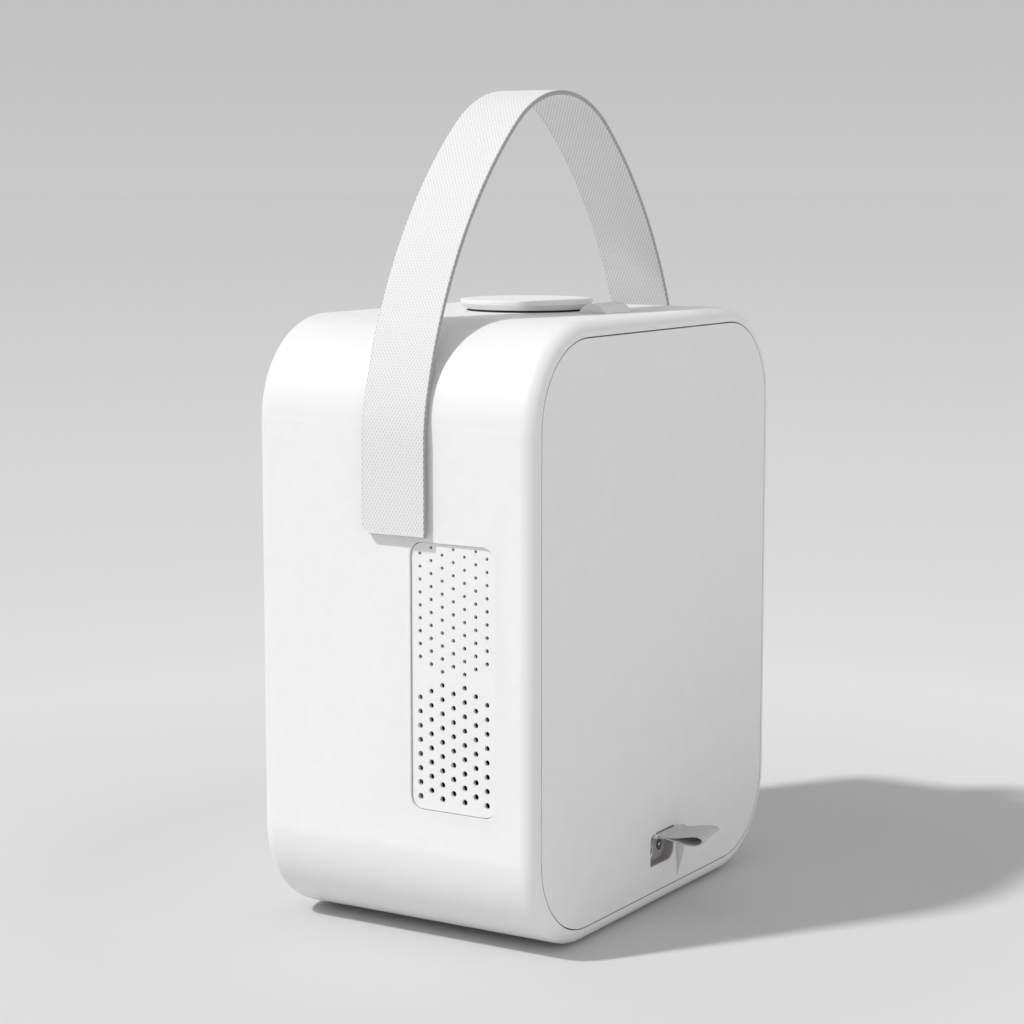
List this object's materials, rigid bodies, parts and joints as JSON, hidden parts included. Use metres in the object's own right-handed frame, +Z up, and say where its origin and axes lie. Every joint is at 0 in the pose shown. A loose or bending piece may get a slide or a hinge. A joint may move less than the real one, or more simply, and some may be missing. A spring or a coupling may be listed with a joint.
{
  "type": "home projector",
  "caption": "Upright rounded white projector with a webbing carry strap over it, a top control dial and rocker key, perforated side grilles and a flap-covered port bay.",
  "frame": {"origin": "centre of the tripod socket's mouth in plan, at the height of the surface the feet stand on", "axes": "+Z up, lens looks along -Y, back cover with the port bay faces +Y, +X is the side with the grille seen beside the strap; X is the width"},
  "size_m": [0.1756, 0.126, 0.2813],
  "materials": {
    "case_white": "satin white moulded ABS with a very fine spark texture",
    "cover_white": "satin white moulded ABS",
    "dial_white": "satin white moulded ABS",
    "strap_webbing": "white plain-woven polyester webbing",
    "foot_rubber": "matt dark grey silicone",
    "port_rubber": "soft light grey silicone",
    "bay_grey": "dark grey moulded plastic",
    "black_plastic": "black moulded plastic",
    "grey_nylon": "grey glass-filled nylon",
    "dark_window": "dark infra-red window",
    "brass": "turned brass",
    "steel": "zinc-plated steel",
    "nickel": "nickel-plated contact",
    "board_green": "glass-epoxy board with solder mask",
    "ribbon_tan": "polyimide flat cable",
    "aluminium": "bare machined aluminium",
    "lens_glass": "coated optical glass",
    "panel_glass": "LCD panel",
    "mirror": "front-surface mirror"
  },
  "bodies": {
    "case": {"anchor_bush_left": "grey_nylon", "anchor_bush_right": "grey_nylon", "audio_jack": "bay_grey", "back_cover": "cover_white", "base_frame": "grey_nylon", "base_screws": "steel", "board_screws": "steel", "condenser_lens": "lens_glass", "cover_hinge": "cover_white", "cover_tether": "port_rubber", "dc_jack": "bay_grey", "dc_pin": "nickel", "dial_seat": "black_plastic", "dial_spring": "steel", "driver_board": "board_green", "encoder_unit": "board_green", "engine_housing": "black_plastic", "engine_screws": "steel", "fan_frame_left": "black_plastic", "fan_frame_right": "black_plastic", "focus_motor": "steel", "fold_mirror": "mirror", "fresnel_lens": "lens_glass", "front_cover": "cover_white", "ir_window": "dark_window", "lcd_panel": "panel_glass", "led_board": "board_green", "led_heatsink": "aluminium", "lens_bezel": "black_plastic", "lens_mount": "black_plastic", "main_board": "board_green", "mid_sleeve": "case_white", "mirror_housing": "black_plastic", "panel_ribbon": "ribbon_tan", "port_bay": "bay_grey", "ring_keeper": "steel", "rocker_bracket": "black_plastic", "rocker_pin": "steel", "rubber_feet": "foot_rubber", "side_grille_left": "case_white", "side_grille_right": "case_white", "speaker_left": "black_plastic", "speaker_right": "black_plastic", "tripod_bush": "brass"},
    "strap": {"carry_strap": "strap_webbing", "strap_anchor_left": "steel", "strap_anchor_right": "steel", "anchor_screws": "steel"},
    "dial_plunger": {"dial_plunger": "black_plastic"},
    "dial": {"control_dial": "dial_white", "dial_shaft": "steel"},
    "rocker": {"rocker_key": "dial_white"},
    "port_flap": {"port_cover": "port_rubber"},
    "fan_left": {"fan_rotor_left": "black_plastic"},
    "fan_right": {"fan_rotor_right": "black_plastic"},
    "focus_gear": {"focus_ring": "aluminium"},
    "motor_pinion": {"focus_pinion": "grey_nylon"},
    "lens": {"lens_cell": "black_plastic", "front_element": "lens_glass", "rear_element": "lens_glass"}
  },
  "joints": [
    {"name": "strap_swing", "type": "hinge", "parent": "case", "child": "strap", "pos_m": [0, 0.00285, 0.1505], "axis": [1, 0, 0], "range_deg": [-6, 6]},
    {"name": "dial_press", "type": "slide", "parent": "case", "child": "dial_plunger", "axis": [0, 0, 1], "range_m": [-0.00035, 0], "stiffness_N_per_m": 800, "springref_m": 0.002, "deforming": ["dial_spring"]},
    {"name": "dial_turn", "type": "hinge", "parent": "dial_plunger", "child": "dial", "pos_m": [0, 0, 0.206], "axis": [0, 0, 1], "continuous": true},
    {"name": "rocker_tilt", "type": "hinge", "parent": "case", "child": "rocker", "pos_m": [0, 0.0313, 0.1975], "axis": [0, 1, 0], "range_deg": [-3, 3], "stiffness_Nm_per_rad": 0.3},
    {"name": "port_flap_hinge", "type": "hinge", "parent": "case", "child": "port_flap", "pos_m": [0, 0.05375, 0.0257], "axis": [1, 0, 0], "range_deg": [-45, 20]},
    {"name": "fan_spin_left", "type": "hinge", "parent": "case", "child": "fan_left", "pos_m": [-0.076, 0.0235, 0.069], "axis": [1, 0, 0], "continuous": true},
    {"name": "fan_spin_right", "type": "hinge", "parent": "case", "child": "fan_right", "pos_m": [0.076, 0.0235, 0.069], "axis": [1, 0, 0], "continuous": true},
    {"name": "focus_turn", "type": "hinge", "parent": "case", "child": "focus_gear", "pos_m": [0, -0.036, 0.1485], "axis": [0, 1, 0], "range_deg": [-40, 40]},
    {"name": "pinion_turn", "type": "hinge", "parent": "case", "child": "motor_pinion", "pos_m": [-0.02652, -0.036, 0.12198], "axis": [0, 1, 0], "range_deg": [-161, 161]},
    {"name": "lens_slide", "type": "slide", "parent": "case", "child": "lens", "axis": [0, 1, 0], "range_m": [-0.0015, 0.0015]}
  ],
  "couplings": [
    {"joint": "pinion_turn", "follows": "focus_turn", "ratio": -4},
    {"joint": "lens_slide", "follows": "focus_turn", "m_per_rad": 0.00214}
  ]
}
